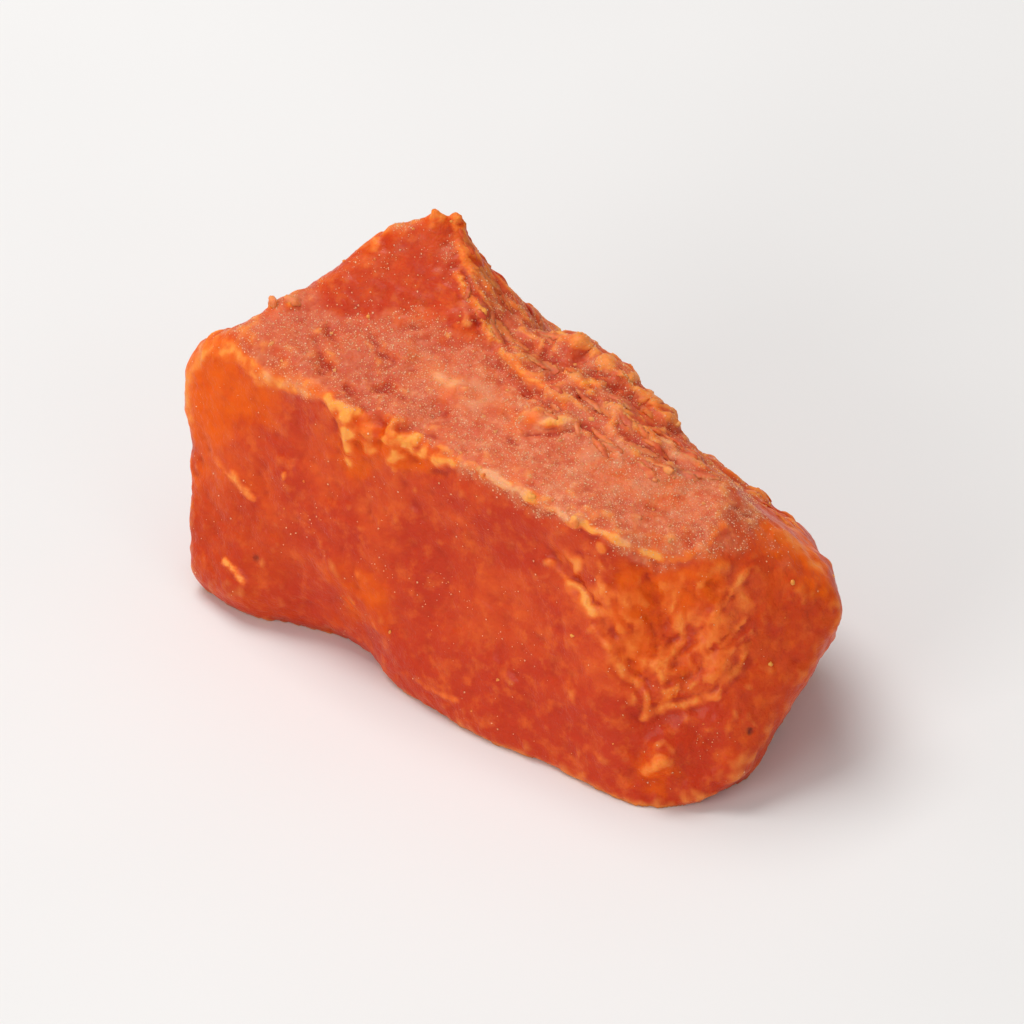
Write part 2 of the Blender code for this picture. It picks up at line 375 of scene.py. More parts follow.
def add_relief(skin):
    """Swells, wrinkles and grain all over, folds in the facet, and the torn back."""
    normals = skin.normals()
    points = skin.points
    torn, crest = tornness(points, normals)
    skin.add_paint("torn", np.maximum(torn, crest))
    height = sum(
        rise * fractal_noise(points, size, seed, octaves) for size, rise, seed, octaves in SWELLS
    )
    fibres = drawn_out(points, CUT_FLOW, 4.0)
    height += (1 - skin.paint["torn"]) * CUT_FIBRES * ridged_noise(fibres, 0.9, 6)
    strands = wavered(drawn_out(points, TEAR_FLOW, 5.0), 1.3, 0.3, 24)
    height += torn * TORN_STRANDS * ridged_noise(strands, 1.1, 9, 2)
    height += add_layers(skin, torn, TEAR_ACROSS, period=1.5, height=0.34, lip_highlight=0.55, seed=23)
    flakes, crack = broken_cells(strands, 0.6, 27)
    height += torn * (TORN_FLAKES * flakes - TORN_CRACKS * (1 - ramp(crack, 0, 0.16)))
    threads = wavered(drawn_out(points, TEAR_FLOW, 6.0), 1.4, 0.3, 84)
    height += crest * CREST_THREADS * ridged_noise(threads, 0.85, 86)
    height += add_layers(skin, crest, CREST_ACROSS, period=1.1, height=0.24, lip_highlight=0.8, seed=87)
    wander = 3.0 * fractal_noise(points, 1.6, 45)[:, None]
    facet = inside_share(pixels_of(points) + wander, FACET, 9)
    facet *= ramp(normals @ TO_CAMERA, 0, 0.3)
    folds = facet_folds(points)
    height += facet * FOLDS * folds
    uneven = patchy(points, 1.3, 29, 0.55, 0.9)
    # Painted highlight on the crests of the folds and painted shade in their hollows.
    skin.add_paint("pale", FOLD_HIGHLIGHT * facet * uneven * ramp(folds, 0.15, 0.7))
    skin.add_paint("painted_shade", FOLD_SHADE * facet * (1 - ramp(folds, -0.7, -0.1)))
    skin.points = points + normals * height[:, None]


# ---- marks in the photograph ----

# The torn strip that shows beside the crest: x and y of its corners in turn, in pixels.
TORN_CREST = (
    401, 438, 402, 452, 404, 462, 409, 472, 415, 483, 421, 491, 424, 500, 436, 502, 447, 510, 458,
    511, 467, 515, 476, 518, 484, 510, 470, 485, 450, 465, 425, 450, 405, 430,
)

# The smoother flap on it.
FLAP = (
    427, 464, 446, 468, 458, 482, 474, 500, 464, 503, 451, 493, 441, 486, 430, 479,
)

# The scooped facet at the right, and the foot that its folds run to.
FACET = (
    433, 541, 450, 541, 470, 545, 480, 543, 492, 546, 491, 566, 482, 580, 471, 585, 459, 589, 450,
    576, 440, 561,
)
FACET_FOOT = (462, 606)
FOLD_SPREAD, FOLD_STRETCH = 6.0, 1.6

# Raised or sunk lines: x and y of each pixel in turn, half width, height and strength of the
# paint. Then the side with the gentle slope (1 to the right of the way the pixels run, -1 to
# the left, 0 or nothing for neither), and the paint: where none is named, pale on what is
# raised, partly the flesh's own streaks and partly painted highlight, and dark red painted
# shade on what is sunk.
STROKES = (
    # The broken edge where the top meets the front, painted pale as a highlight, from left to
    # right.
    ((317.5, 500, 318.5, 492, 320, 484, 323.5, 478, 330, 476.4), 0.75, 0.03, 0.55),
    ((326, 477.2, 330, 477, 334.2, 480.4, 339, 484, 342.7, 487.7), 0.68, 0.06, 0.75),
    ((342.7, 487.5, 346.4, 489.4, 353.6, 491, 360.3, 492.8), 0.55, 0.05, 0.75, -1),
    ((361, 493, 367.6, 495.6, 371.5, 497.5), 0.43, 0.1, 0.9),
    ((393.8, 511.5, 399, 512.5, 405, 513.2), 0.34, 0.1, 1),
    ((405, 513.2, 413, 518, 423, 522.7, 435.7, 529.8), 0.33, 0.09, 1.2),
    ((435.7, 529.8, 442.8, 533, 452, 537.6, 462, 541), 0.33, 0.08, 1.05),
    ((462, 541, 469.6, 542.5, 477, 537.5, 482, 532), 0.34, 0.03, 0.42, -1),
    # The double streak down the left of the scooped facet.
    ((429.4, 542.8, 432.7, 546, 436.7, 550), 0.22, 0.06, 0.6, 1),
    ((435.6, 549, 439.4, 552.8, 442.6, 556.6), 0.34, 0.1, 1.1, 1),
    ((442.2, 555.8, 446.8, 558, 450.5, 562, 454.8, 569.6, 456.4, 572.2), 0.36, 0.06, 0.45, 1),
    ((442.8, 562.2, 445.5, 565.6, 448.8, 571, 452.2, 576.3, 456.3, 579), 0.3, 0.06, 0.55, 1),
    # The arc that closes the facet below.
    ((458.2, 589, 462.9, 586.3, 469.6, 584.3, 475.6, 583, 479, 581.6), 0.3, 0.07, 0.6, 1),
    ((479, 581.6, 483, 577.8, 487, 571), 0.24, 0.05, 0.4, 1),
    # Folds inside the facet.
    ((458.5, 543, 460, 547, 462.5, 551), 0.22, 0.08, 0.5, -1),
    ((480.3, 557, 478, 560, 473, 563), 0.22, 0.08, 0.45, 1),
    ((488.5, 547, 485, 550, 481, 552), 0.25, 0.09, 0.6, 1),
    ((487.5, 561, 484.5, 564, 481.5, 567.5), 0.25, 0.09, 0.5, 1),
    ((469.5, 567.5, 466, 571, 462.5, 575), 0.23, 0.09, 0.6, 1),
    ((465.5, 567, 463.5, 569.6, 461, 571), 0.2, -0.08, 0.6),
    ((468, 573.5, 466.6, 575.4), 0.2, -0.07, 0.6),
    ((461, 579.5, 466, 578, 472, 577.5), 0.27, -0.06, 0.4),
    # Streaks on the left end.
    ((327.6, 512, 330.6, 515, 334.2, 519.2), 0.2, 0.04, 0.45, -1),
    ((333, 517.6, 335.5, 520.4, 338, 523.2), 0.36, 0.1, 1.6, -1),
    ((330.6, 542.9, 333, 545.6, 335.5, 548.3), 0.26, 0.08, 1.3, -1),
    # The edge is sunk between the lumps that hang over it, with painted shade there.
    ((375, 499.6, 380, 501.3, 386, 502.4), 0.45, -0.13, 0.5),
    # The torn flap beside the crest stands out.
    ((438, 477, 446, 484, 456, 492.5, 464, 500), 1, 0.45, 0.5, 0, "frost"),
    # The crest's right edge, torn into strands.
    ((400.6, 437, 400.7, 444.4, 403, 449.5, 405.9, 454.7), 0.25, 0.08, 0.6, 1),
    ((402.3, 455, 403.6, 461, 406.5, 464.2, 409.4, 467.3), 0.25, 0.13, 0.85, 1),
    ((409.4, 467.3, 410.8, 470.2, 411.6, 475), 0.23, 0.1, 0.75, 1),
    ((405.9, 454.7, 412.8, 460.4, 420.8, 467, 424.9, 471.3), 0.27, 0.08, 0.45, 1),
    ((403.8, 463, 405.3, 466.5, 407, 470), 0.22, -0.14, 0.9),
    ((411.5, 471, 414.5, 475, 418, 479), 0.35, -0.1, 0.7),
    # Torn layers beside the fold.
    ((416.8, 480, 420.3, 484, 424.9, 488), 0.27, 0.13, 0.9, 1),
    ((426, 488.5, 430, 491, 434.6, 496), 0.23, 0.09, 0.6, 1),
    ((422.6, 500, 428, 500.2, 434.6, 500.8), 0.36, 0.14, 0.95, -1),
    ((422.5, 503.8, 427, 504.2, 432, 503.8), 0.2, -0.07, 0.4),
    ((435.2, 488.6, 440, 488.8, 444.9, 488.6), 0.33, 0.15, 0.8, -1),
    ((437.5, 492.6, 442, 493, 446.7, 493.6), 0.28, -0.14, 0.85),
    ((434, 482.6, 439, 483.6, 443, 484), 0.22, -0.07, 0.5),
    ((431.5, 472.5, 433.8, 474.5, 436, 476.5), 0.44, 0.12, 1),
    ((443.2, 475.5, 445, 479.4, 448.4, 483.6, 451.3, 486.5), 0.28, 0.1, 0.7, 1),
    ((451.3, 486.5, 455.3, 490.5, 459.5, 494.2, 462.9, 498.5, 466, 500.3), 0.33, 0.14, 0.95, 1),
    ((454, 496.5, 457.5, 498, 460.5, 498.4), 0.31, -0.07, 1, 0, "amber"),
    ((462, 501.4, 466, 502.5, 468.5, 502), 0.25, -0.12, 0.9),
    ((457, 502, 461, 504, 465.6, 506.4), 0.3, 0.11, 0.7, 1),
    ((458, 508.6, 462.5, 510, 466.8, 512), 0.27, -0.12, 0.7),
    ((467.3, 509.8, 470, 510.6, 473.4, 511.8), 0.28, 0.1, 0.8, 1),
    ((448.4, 497.5, 447.6, 501, 447.2, 504.6), 0.33, 0.11, 0.75),
    # Hollows in the top, with painted shade in them.
    ((361.2, 472, 364.2, 477), 0.32, -0.15, 0.8),
    ((357.4, 475.6, 359.4, 480.4), 0.28, -0.13, 0.65),
    ((361, 482.8, 364.6, 485), 0.26, -0.11, 0.55),
    ((373.8, 472.8, 376.8, 477), 0.3, -0.13, 0.7),
    ((376.6, 478.6, 380.8, 482.4), 0.34, -0.15, 0.8),
    ((366.8, 489.8, 369.6, 491.6), 0.24, -0.1, 0.5),
    ((379, 490.2, 384, 493), 0.33, -0.14, 0.75),
    ((415.8, 505.4, 419, 507.2), 0.25, -0.1, 0.5),
    ((415.6, 497.2, 417.8, 500.4), 0.24, -0.1, 0.5),
    ((485, 526.4, 489, 528.6), 0.26, -0.09, 0.45),
    # Lower edges and the right shoulder, which catch the light.
    ((386, 577, 393, 580.5, 400.6, 584.6), 0.27, 0.03, 0.4),
    ((457.5, 606, 460.5, 604.6, 463.5, 603.4), 0.42, 0.13, 0.5),
    ((497, 534, 503, 536.5, 507.5, 541, 510.5, 548), 1.6, 0, 1.2, 0, "amber"),
    ((499.5, 534.6, 504, 537, 508, 541, 510.6, 546), 0.95, 0.03, 0.48),
    ((500, 530, 503.5, 532.8, 506.6, 536, 508.6, 539.5), 1.1, 0, 1.1, 0, "amber"),
    ((501, 531, 504, 533.4, 506.8, 536.6), 0.7, 0, 0.45),
)

# Small raised dots (or sunk ones): x, y, radius, and the rest as for the lines.
DOTS = (
    # Flesh hanging over the edge in lumps; their pale and amber paint is painted light, as if lit
    # through.
    (363, 495, 0.55, 0.08, 1), (366.6, 498.5, 0.75, 0.12, 1.3), (366.8, 503.5, 0.75, 0.09, 1.4),
    (366.8, 508, 0.7, 0.08, 1.3), (367.8, 512, 0.5, 0.07, 0.9),
    (370.5, 504.8, 0.36, 0.08, 1, 0, "amber"), (373.6, 503, 0.6, 0.13, 1.1),
    (374, 508.4, 0.55, 0.11, 1), (378.8, 506, 0.4, 0.08, 1, 0, "amber"),
    (382, 511, 0.7, 0.14, 1.3), (382, 514.5, 0.32, 0.1, 1), (385, 507, 0.8, 0.15, 1.4),
    (389, 505.4, 0.52, 0.13, 1.1), (390.4, 509.6, 0.6, 0.13, 1.2), (396.3, 512, 0.36, 0.12, 1.1),
    (401.8, 512, 0.32, 0.1, 1.1),
    # Teeth on the crest and along the outline to its left.
    (400.8, 437.4, 0.34, 0.2, 0.6), (399.2, 437.2, 0.26, 0.12, 0.5),
    (394.2, 437, 0.3, 0.13, 0.5), (345, 464.6, 0.32, 0.16, 0.6), (350.3, 464.3, 0.3, 0.14, 0.7),
    (356.6, 463.5, 0.28, 0.12, 0.4),
    # Lumps on that edge, painted pale as highlights.
    (408.8, 516.2, 0.3, 0.14, 1.2), (415.5, 519.5, 0.24, 0.1, 1), (423, 522.7, 0.34, 0.16, 1.3),
    (429.5, 526.6, 0.26, 0.1, 1), (436.5, 530.4, 0.36, 0.17, 1.3),
    (442.8, 533.2, 0.26, 0.12, 1),
    # On the front and low at the right.
    (348.8, 516.2, 0.22, 0.08, 0.9), (374.8, 520.5, 0.24, 0.07, 0.5),
    (374.8, 528.3, 0.24, 0.07, 0.5), (372.4, 535, 0.26, 0.07, 0.4),
    (370.6, 546.5, 0.24, 0.06, 0.5), (369.7, 555, 0.3, 0.06, 0.8, 0, "amber"),
    (384.3, 576, 0.26, 0.07, 0.4), (488.3, 589.7, 0.28, 0.09, 0.55),
    # In and round the facet.
    (444.8, 538.8, 0.34, 0.1, 0.5), (451, 562.4, 0.4, 0.1, 1, 0, "amber"),
    (456.2, 579, 0.28, 0.12, 0.6), (459, 588.4, 0.32, 0.12, 0.7), (487, 571, 0.26, 0.08, 0.5),
    # Beside the torn crest, and clots of sugar on the top.
    (465, 515, 0.34, 0.14, 0.8), (453, 503, 0.32, 0.02, 1, 0, "amber"),
    (450, 509.8, 0.3, 0.09, 0.5), (403.3, 490.6, 0.3, 0.1, 0.7),
    (397.9, 474.4, 0.3, 0.09, 0.8, 0, "frost"), (403.6, 469.6, 0.34, 0.1, 0.8, 0, "frost"),
    (390, 473.8, 0.3, 0.08, 0.8, 0, "frost"), (376, 478.6, 0.3, 0.08, 0.7, 0, "frost"),
    (483, 531.4, 0.34, 0.09, 0.9, 0, "frost"),
    # Dark specks.
    (340.3, 541.7, 0.24, -0.06, 1, 0, "speck"), (489.6, 594.4, 0.27, -0.06, 0.9, 0, "speck"),
)

# Areas: x and y of each corner in turn, how softly it fades, paint and its strength. Their
# outlines wander by up to about AREA_WANDER pixels.
AREA_WANDER = 4.5
AREAS = (
    ((318, 484, 328, 476, 339, 485, 346, 492, 342, 500, 334, 504, 323, 510, 316, 500), 13,
      "amber", 1.1),
    ((315, 490, 322, 490, 328, 515, 323, 530, 315, 522), 9, "amber", 0.6),
    ((360, 546, 370, 542, 382, 553, 379, 563, 366, 561), 8, "amber", 0.6),
    # Dark red paint in the next areas is painted shade: steep crest, top to its left, low left end.
    ((352, 462, 372, 450, 392, 438, 400, 441, 402, 458, 392, 466, 370, 466), 6, "painted_shade", 0.24),
    ((348, 462, 372, 450, 392, 438, 400, 441, 402, 458, 394, 468, 370, 468), 5, "frost", 0.1),
    ((340, 472, 352, 466, 372, 470, 398, 470, 400, 482, 384, 494, 360, 490, 345, 484), 8, "painted_shade",
      0.28),
    ((312, 525, 335, 520, 352, 530, 356, 572, 310, 560), 10, "painted_shade", 0.42),
    ((312, 508, 330, 504, 346, 515, 352, 545, 346, 575, 310, 560), 9, "amber", 0.28),
    ((492, 548, 516, 540, 524, 560, 500, 600, 482, 612, 484, 585), 10, "amber", 0.3),
    ((402, 452, 420, 462, 440, 472, 452, 482, 470, 500, 478, 514, 447, 508, 424, 498, 412, 480),
      6, "frost", 0.65),
    ((360, 494, 367, 492, 374, 496, 388, 502, 397, 508, 395, 513, 384, 516, 374, 513, 365, 514,
      362, 505), 4, "amber", 0.85),
    ((450, 541, 458, 543, 480, 545, 484, 552, 478, 560, 462, 564, 448, 560, 446, 552), 5, "amber",
      0.95),
    ((445, 558, 458, 560, 462, 569, 457, 577, 450, 570), 4, "amber", 0.7),
    ((462, 567, 484, 560, 487, 566, 480, 577, 462, 581, 458, 576), 5, "amber", 0.35),
    ((453, 602, 463, 600, 470, 606, 464, 613, 453, 611), 3, "amber", 0.7),
    ((392, 484, 401, 484.5, 401, 488.5, 392, 488), 2.5, "pale", 0.6),
    ((384, 479, 396, 480, 412, 490, 424, 499, 418, 503, 400, 494, 388, 488), 6, "pale", 0.35),
    ((436, 507, 452, 511, 470, 518, 482, 526, 474, 532, 452, 524, 438, 514), 6, "pale", 0.3),
    ((331, 473, 340, 477, 350, 486, 362, 490, 361, 494, 346, 491, 335, 481), 3, "frost", 0.8),
    ((402, 510, 425, 519, 440, 527, 466, 538, 464, 544, 440, 535, 423, 526, 402, 516), 3, "frost",
      0.8),
    ((452, 494, 461, 496, 463, 500, 454, 501), 2, "amber", 0.7),
    ((324, 474, 345, 464, 372, 468, 396, 467, 408, 480, 398, 510, 365, 492, 342, 487, 331, 476),
      7, "frost", 0.68),
    ((400, 474, 420, 490, 445, 500, 470, 508, 492, 522, 495, 532, 478, 541, 462, 540, 440, 531,
      396, 509), 7, "frost", 0.85),
)


# How many pixels inward a mark that lies past the outline looks for the skin.
LOOKS_INWARD = 12


def on_skin(tree, pixel):
    """The point of the skin that a pixel shows; from past its outline, the nearest inward."""
    pixel = np.array(pixel, float)
    inward = unit(np.array(FRAME_MIDDLE_PIXEL) - pixel)
    for step in range(LOOKS_INWARD):
        ray = photo_point(pixel + inward * step) - CAMERA_PLACE
        found = tree.ray_cast(Vector(CAMERA_PLACE), Vector(unit(ray)))[0]
        if found is not None:
            return np.array(found)
    raise ValueError(f"nothing of the chunk shows at pixel {tuple(pixel)}")


def line_on_skin(tree, pixels, spacing=0.6):
    """Points close together on the skin along a line through pixels."""
    line = []
    pixels = np.reshape(pixels, (-1, 2))
    for start, end in zip(pixels, pixels[1:]):
        steps = max(2, math.ceil(np.linalg.norm(end - start) / spacing))
        line += [on_skin(tree, start + (end - start) * i / steps) for i in range(steps + 1)]
    return np.array(line)


# How much narrower and wider a leaning mark's sides get, and the shallow groove round a
# mark: its depth, and its place and half width in half widths of the mark.
GENTLE_SIDE, STEEP_SIDE = 0.55, 1.3
GROOVE_DEPTH, GROOVE_PLACE, GROOVE_WIDTH = 0.25, 1.25, 0.6


def apply_mark(skin, normals, line, reach, height, strength, lean=0, paint=None):
    """Raise and paint the skin near a line of points, unevenly and with breaks."""
    low, high = line.min(0) - 3 * reach, line.max(0) + 3 * reach
    near = np.flatnonzero(np.all((skin.points > low) & (skin.points < high), axis=1))
    points = skin.points[near]
    strayed = wavered(wavered(points, 0.75, 0.16, 31), 0.34, 0.08, 39)
    apart = lengths(strayed[:, None] - line[None])
    closest = apart.argmin(axis=1)
    distance = apart.min(axis=1)
    if lean:
        tangent = np.gradient(line, axis=0)[closest]
        rightward = np.cross(tangent, normals[near])
        gentle = np.einsum("ij,ij->i", strayed - line[closest], rightward) * lean > 0
        distance = distance * np.where(gentle, GENTLE_SIDE, STEEP_SIDE)
    width = reach * patchy(points, 0.6, 35, 0.95, 0.6, 0.5, 1.4)
    broken = 0.35 + 0.65 * ramp(fractal_noise(points, 0.8, 33), -0.5, 0.25)
    shape = bell(distance, width)
    groove = bell(np.abs(distance - GROOVE_PLACE * width), GROOVE_WIDTH * width)
    lift = (shape - GROOVE_DEPTH * groove) * broken * height
    skin.points[near] += normals[near] * lift[:, None]
    # Unless a paint is named, a raised mark is painted pale, partly as a highlight, and a sunk one
    # with dark red painted shade.
    layer = skin.paint[paint or ("painted_shade" if height < 0 else "pale")]
    share = ramp(shape, 0.3 if lean else 0.1, 0.95)
    layer[near] = np.maximum(layer[near], np.minimum(1, strength * broken * share))


def inside_share(pixels, corners, fade):
    """1 inside a polygon of pixels, 0 outside, fading over its edge."""
    corners = np.reshape(corners, (-1, 2)).astype(float)
    inside = np.zeros(len(pixels), bool)
    distance = np.full(len(pixels), np.inf)
    for start, end in zip(corners, np.roll(corners, -1, axis=0)):
        side = end - start
        along = np.clip((pixels - start) @ side / (side @ side), 0, 1)
        distance = np.minimum(distance, lengths(pixels - start - along[:, None] * side))
        crosses = (start[1] > pixels[:, 1]) != (end[1] > pixels[:, 1])
        if start[1] != end[1]:
            meets = start[0] + (pixels[:, 1] - start[1]) * side[0] / side[1]
            inside ^= crosses & (pixels[:, 0] < meets)
    return ramp(np.where(inside, distance, -distance), -fade / 2, fade / 2)


def add_marks(skin):
    """What the photograph shows on the skin, and more of its kind where it shows nothing."""
    tree = skin.tree()
    normals = skin.normals()
    toward = normals @ TO_CAMERA
    wander = np.stack([fractal_noise(skin.points, 1.6, seed, 4) for seed in (43, 48)], axis=1)
    pixels = pixels_of(skin.points) + AREA_WANDER * wander
    blotches = 0.75 + 0.6 * fractal_noise(skin.points, 0.9, 41)
    for corners, fade, paint, strength in AREAS:
        share = inside_share(pixels, corners, fade) * ramp(toward, 0.0, 0.25)
        skin.add_paint(paint, np.clip(share * strength * blotches, 0, 1))
    for pixels_along, *mark in STROKES:
        apply_mark(skin, normals, line_on_skin(tree, pixels_along), *mark)
    for x, y, *mark in DOTS:
        apply_mark(skin, normals, on_skin(tree, (x, y))[None], *mark)
    hidden_marks(skin, normals, 1 - ramp(toward, -0.15, 0.15))
    skin.paint["pale"] = skin.smoothed(skin.paint["pale"], 1)


# Streaks, dots and patches where the photograph doesn't show the skin.
HIDDEN_MARKS, RAISED_SHARE = 46, 0.75
HIDDEN_LENGTH, HIDDEN_WIDTH = (0.2, 2.4), (0.2, 0.4)
HIDDEN_HEIGHT, HIDDEN_STRENGTH = (0.05, 0.13), (0.3, 0.8)
HIDDEN_BEND = 0.1
HIDDEN_AMBER = 0.7


def hidden_marks(skin, normals, hidden):
    """Streaks, dots and amber patches like the ones that show, on the sides that don't."""
    rng = np.random.default_rng(5)
    open_to_air = hidden * ramp(skin.points[:, 2], 0.3, 1.2)
    chance = open_to_air / open_to_air.sum()
    for place in rng.choice(len(skin.points), HIDDEN_MARKS, replace=False, p=chance):
        start, normal = skin.points[place], normals[place]
        heading = unit(np.cross(normal, rng.normal(size=3)) + 0.8 * np.array(CUT_FLOW))
        share = np.linspace(0, 1, 9)
        line = start + np.outer(rng.uniform(*HIDDEN_LENGTH) * share, heading)
        line += np.outer(rng.uniform(-HIDDEN_BEND, HIDDEN_BEND) * share**2, normal)
        raised = 1 if rng.random() < RAISED_SHARE else -1
        apply_mark(
            skin, normals, line, rng.uniform(*HIDDEN_WIDTH), rng.uniform(*HIDDEN_HEIGHT) * raised,
            rng.uniform(*HIDDEN_STRENGTH), rng.choice((-1, 1)),
        )
    patches = ramp(fractal_noise(skin.points, 4.0, 51), 0.25, 0.75)
    skin.add_paint("amber", HIDDEN_AMBER * patches * hidden)


# Sugar on level skin, what torn and amber skin takes off it, the relief under it, and the
# painted shade in its pits.
LEVEL_FROST, TORN_FROST_LOSS, AMBER_FROST_LOSS = 0.66, 0.55, 0.8
FROST_LUMPS, FROST_GRAIN, FROST_PITS, PIT_SHADE = 0.055, 0.03, 0.07, 0.3


def add_frost(skin):
    """Sugar lies on what looks up, thinly on the crest, and makes that skin granular."""
    normals = skin.normals()
    up = skin.smoothed(normals[:, 2], 8)
    drift = fractal_noise(skin.points, 1.8, 61)
    frost = LEVEL_FROST * ramp(up + 0.12 * drift, 0.7, 1.0)
    frost *= 1 - TORN_FROST_LOSS * skin.paint["torn"]
    frost = np.maximum(skin.paint["frost"], frost) * (1 - AMBER_FROST_LOSS * skin.paint["amber"])
    streaks = wavered(drawn_out(skin.points, CUT_FLOW, 2.2), 0.6, 0.25, 64)
    pits = ramp(-fractal_noise(streaks, 0.8, 68), 0.35, 0.9)
    lift = FROST_LUMPS * ridged_noise(streaks, 0.8, 66, 3)
    lift += FROST_GRAIN * smooth_noise(skin.points, 0.4, 67)
    skin.points += normals * (frost * (lift - FROST_PITS * pits))[:, None]
    skin.add_paint("painted_shade", PIT_SHADE * frost * pits)
    skin.paint["frost"] = frost


# How many rounds of smoothing make a spot's near and wide surroundings, and how far a full
# rim and a full edge stand out from them.
NEAR_ROUNDS, WIDE_ROUNDS = 14, 90
FULL_RIM, FULL_EDGE = 0.07, 0.22


def measure_rims(skin):
    """Paint how far each spot stands out from its near and wide surroundings."""
    normals = skin.normals()
    near, wide = (
        np.einsum("ij,ij->i", skin.points - skin.smoothed(skin.points, rounds), normals)
        for rounds in (NEAR_ROUNDS, WIDE_ROUNDS)
    )
    calm = 1 - 0.5 * skin.paint["torn"] * (1 - ramp(normals @ TO_CAMERA, -0.2, 0.3))
    skin.paint["rim"] = np.clip(skin.smoothed(near, 1) / FULL_RIM, -1, 1) * calm
    skin.paint["edge"] = np.clip(wide / FULL_EDGE, -1, 1)
    # The material keeps low skin deeper red with this: painted shade towards the floor.
    skin.paint["height"] = 0.2 + 0.8 * ramp(skin.points[:, 2], 1.5, 6.0)


def settle(skin):
    """Keep the skin above the floor and flat underneath."""
    heights = skin.points[:, 2]
    heights[heights < SKIN_GRID / 2] = 0


def make_skin(node):
    mesh = remeshed(node)
    mesh.name = "chunk_skin"
    skin = Skin(mesh)
    skin.points = skin.smoothed(skin.points, SKIN_SMOOTHING)
    add_relief(skin)
    add_marks(skin)
    add_frost(skin)
    settle(skin)
    measure_rims(skin)
    skin.write_points()
    skin.write_paint()
    mesh.shade_smooth()
    mesh.materials.clear()
    mesh.materials.append(skin_material())
    piece = linked("chunk_skin", mesh)
    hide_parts(NODE)
    return piece, skin


# ---- materials ----

FLESH_DEEP = (0.55, 0.032, 0.003, 1)
FLESH = (0.68, 0.07, 0.007, 1)
FLESH_LIGHT = (0.84, 0.15, 0.017, 1)
AMBER = (0.82, 0.111, 0.001, 1)
PALE = (1, 0.38, 0.07, 1)
SHADE_RED = (0.4, 0.014, 0.002, 1)
SPECK = (0.12, 0.01, 0.008, 1)
FROST = (0.73, 0.218, 0.1, 1)
SUGAR = (0.9, 0.4, 0.19, 1)
SUGAR_CLEAR = (0.92, 0.5, 0.3, 1)

# How far red, green and blue light spread inside, as shares of the depth.
FLESH_SCATTER = (1, 0.28, 0.07)
SUGAR_SCATTER = (1, 0.6, 0.4)


class Nodes:
    """Short ways to add nodes to one material, whose colour starts as a plain one."""

    def __init__(self, name, colour):
        self.colour = colour
        self.material = bpy.data.materials.new(name)
        self.material.use_nodes = True
        self.tree = self.material.node_tree
        self.shader = self.tree.nodes["Principled BSDF"]

    def add(self, kind, inputs=None, **settings):
        node = self.tree.nodes.new(kind)
        for name, value in settings.items():
            setattr(node, name, value)
        for socket, value in (inputs or {}).items():
            self.set(node.inputs[socket], value)
        return node

    def set(self, socket, value):
        if isinstance(value, bpy.types.NodeSocket):
            self.tree.links.new(value, socket)
        else:
            socket.default_value = value

    def shade(self, name, value):
        """Set or link a socket of the shader itself."""
        self.set(self.shader.inputs[name], value)

    def mask(self, name):
        return self.add("ShaderNodeAttribute", attribute_name=name).outputs["Fac"]

    def noise(self, size, detail=3.0, roughness=0.55, distortion=0.0):
        """Noise from about 0 to 1 with features about size across."""
        place = self.add("ShaderNodeTexCoord").outputs["Object"]
        inputs = {
            "Vector": place, "Scale": 1 / (size * MM), "Detail": detail,
            "Roughness": roughness, "Distortion": distortion,
        }
        return self.add("ShaderNodeTexNoise", inputs).outputs["Fac"]

    def math(self, operation, first, second):
        inputs = {0: first, 1: second}
        return self.add("ShaderNodeMath", inputs, operation=operation).outputs["Value"]

    def product(self, first, second):
        return self.math("MULTIPLY", first, second)

    def ranged(self, value, low, high, to_low=0.0, to_high=1.0):
        inputs = {
            "Value": value, "From Min": low, "From Max": high,
            "To Min": to_low, "To Max": to_high,
        }
        node = self.add("ShaderNodeMapRange", inputs, interpolation_type="SMOOTHSTEP")
        return node.outputs["Result"]

    def mixed(self, share, first, second):
        inputs = {"Factor": share, 6: first, 7: second}
        return self.add("ShaderNodeMix", inputs, data_type="RGBA").outputs[2]

    def cover(self, share, tint):
        """Lay a tint over the colour so far."""
        self.colour = self.mixed(share, self.colour, tint)
        self.shade("Base Color", self.colour)

    def bump(self, height, strength, distance, normal=None):
        inputs = {"Height": height, "Strength": strength, "Distance": distance * MM}
        if normal is not None:
            inputs["Normal"] = normal
        return self.add("ShaderNodeBump", inputs).outputs["Normal"]


